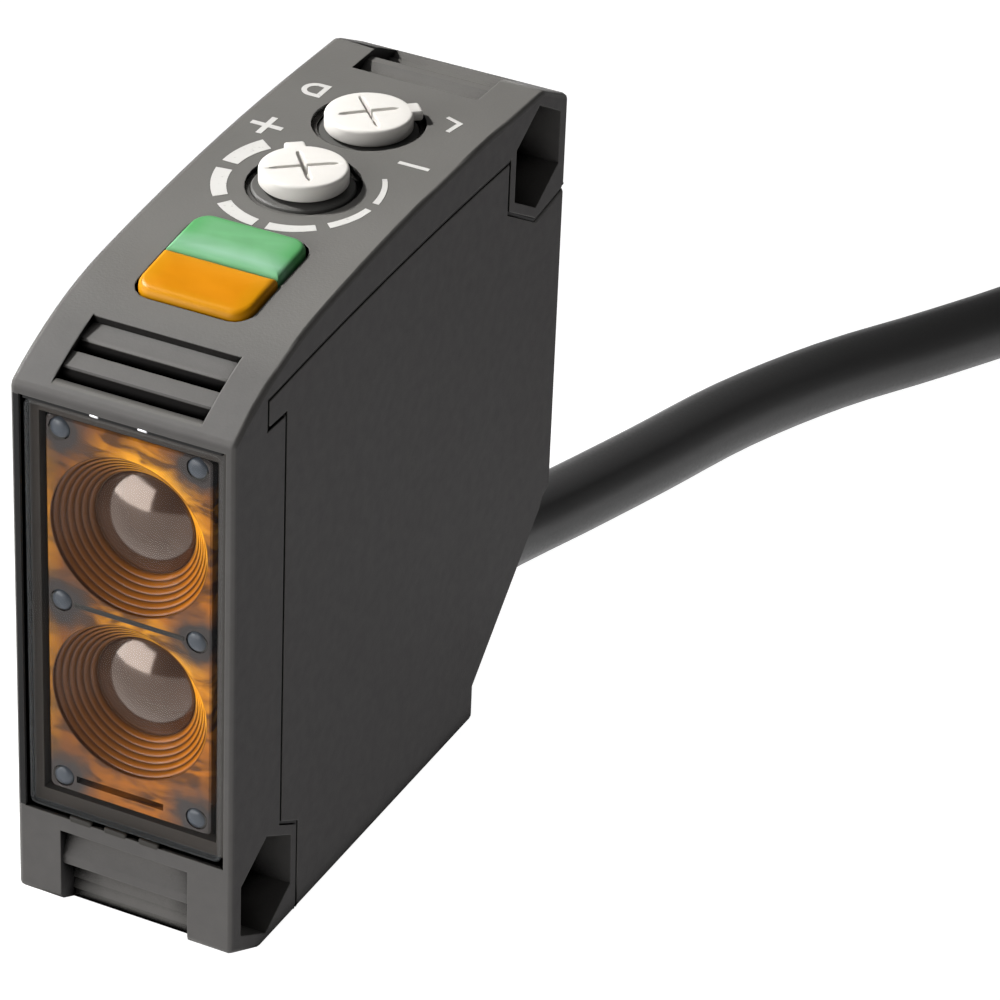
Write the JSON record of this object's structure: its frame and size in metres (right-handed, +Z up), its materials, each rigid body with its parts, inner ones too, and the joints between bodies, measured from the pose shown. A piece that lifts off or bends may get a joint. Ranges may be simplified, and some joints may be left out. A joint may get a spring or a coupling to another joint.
{
  "type": "photoelectric sensor",
  "caption": "Slim block photoelectric sensor with a clear front window over amber lenses, turnable adjusters and lamps on top, through holes for screws, and a tied cable.",
  "frame": {"origin": "middle of the flat bottom face, below the middle of the housing's width and depth", "axes": "-Y out of the lens window, +Y to the cable side, +X across the narrow width, +Z up through the adjusters"},
  "size_m": [0.0604, 0.284, 0.0509],
  "materials": {
    "housing": "fine moulded grain, satin",
    "window": "clear polished plastic",
    "lens": "polished transparent amber",
    "lens_frame": "matt moulded",
    "lamp_green": "translucent, smooth",
    "lamp_orange": "translucent, smooth",
    "knob": "smooth moulded",
    "seal": "matt",
    "board": "solder mask over glass-filled board",
    "black_part": "moulded",
    "white_part": "moulded",
    "blue_part": "moulded",
    "metal_part": "plated",
    "winding": "tape over copper winding",
    "capacitor": "sleeved can",
    "cable_jacket": "extruded, satin",
    "tie": "moulded nylon",
    "core_brown": "extruded insulation",
    "core_blue": "extruded insulation",
    "core_white": "extruded insulation",
    "core_black": "extruded insulation",
    "core_grey": "extruded insulation"
  },
  "bodies": {
    "housing": {"front_top_cover": "housing", "main_case": "housing", "window_cover": "window", "window_gasket": "seal", "lens_plate": "lens", "lens_holder": "lens_frame", "optics_board": "board", "emitter_led": "white_part", "receiver_photodiode": "black_part", "receiver_shield": "metal_part", "optics_connector": "white_part", "indicator_green": "lamp_green", "indicator_orange": "lamp_orange", "green_led": "lamp_green", "orange_led": "lamp_orange", "sensitivity_seal": "seal", "sensitivity_potentiometer": "blue_part", "mode_seal": "seal", "mode_switch": "black_part", "control_board": "board", "main_board": "board", "output_relay": "black_part", "isolating_transformer": "winding", "bridge_rectifier": "black_part", "regulator_ic": "black_part", "smoothing_capacitor": "capacitor", "surge_varistor": "blue_part", "board_link_front": "black_part", "board_link_rear": "black_part", "board_screw_1": "metal_part", "board_screw_2": "metal_part", "cable_bushing": "seal", "cable_clamp": "metal_part", "cable": "cable_jacket", "cable_hank": "cable_jacket", "cable_tail": "cable_jacket", "hank_tie_left": "tie", "hank_tie_right": "tie", "lead_brown": "core_brown", "core_brown": "core_brown", "lead_blue": "core_blue", "core_blue": "core_blue", "lead_white": "core_white", "core_white": "core_white", "lead_black": "core_black", "core_black": "core_black", "lead_grey": "core_grey", "core_grey": "core_grey"},
    "sensitivity_adjuster": {"sensitivity_knob": "knob", "sensitivity_rotor": "white_part"},
    "mode_selector": {"mode_knob": "knob", "mode_rotor": "white_part"}
  },
  "joints": [
    {"name": "sensitivity_turn", "type": "hinge", "parent": "housing", "child": "sensitivity_adjuster", "pos_m": [0, 0.0002, 0.0456], "axis": [0, 0, 1], "range_deg": [0, 270]},
    {"name": "mode_turn", "type": "hinge", "parent": "housing", "child": "mode_selector", "pos_m": [0, 0.0099, 0.0456], "axis": [0, 0, 1], "range_deg": [-265, 0]}
  ]
}
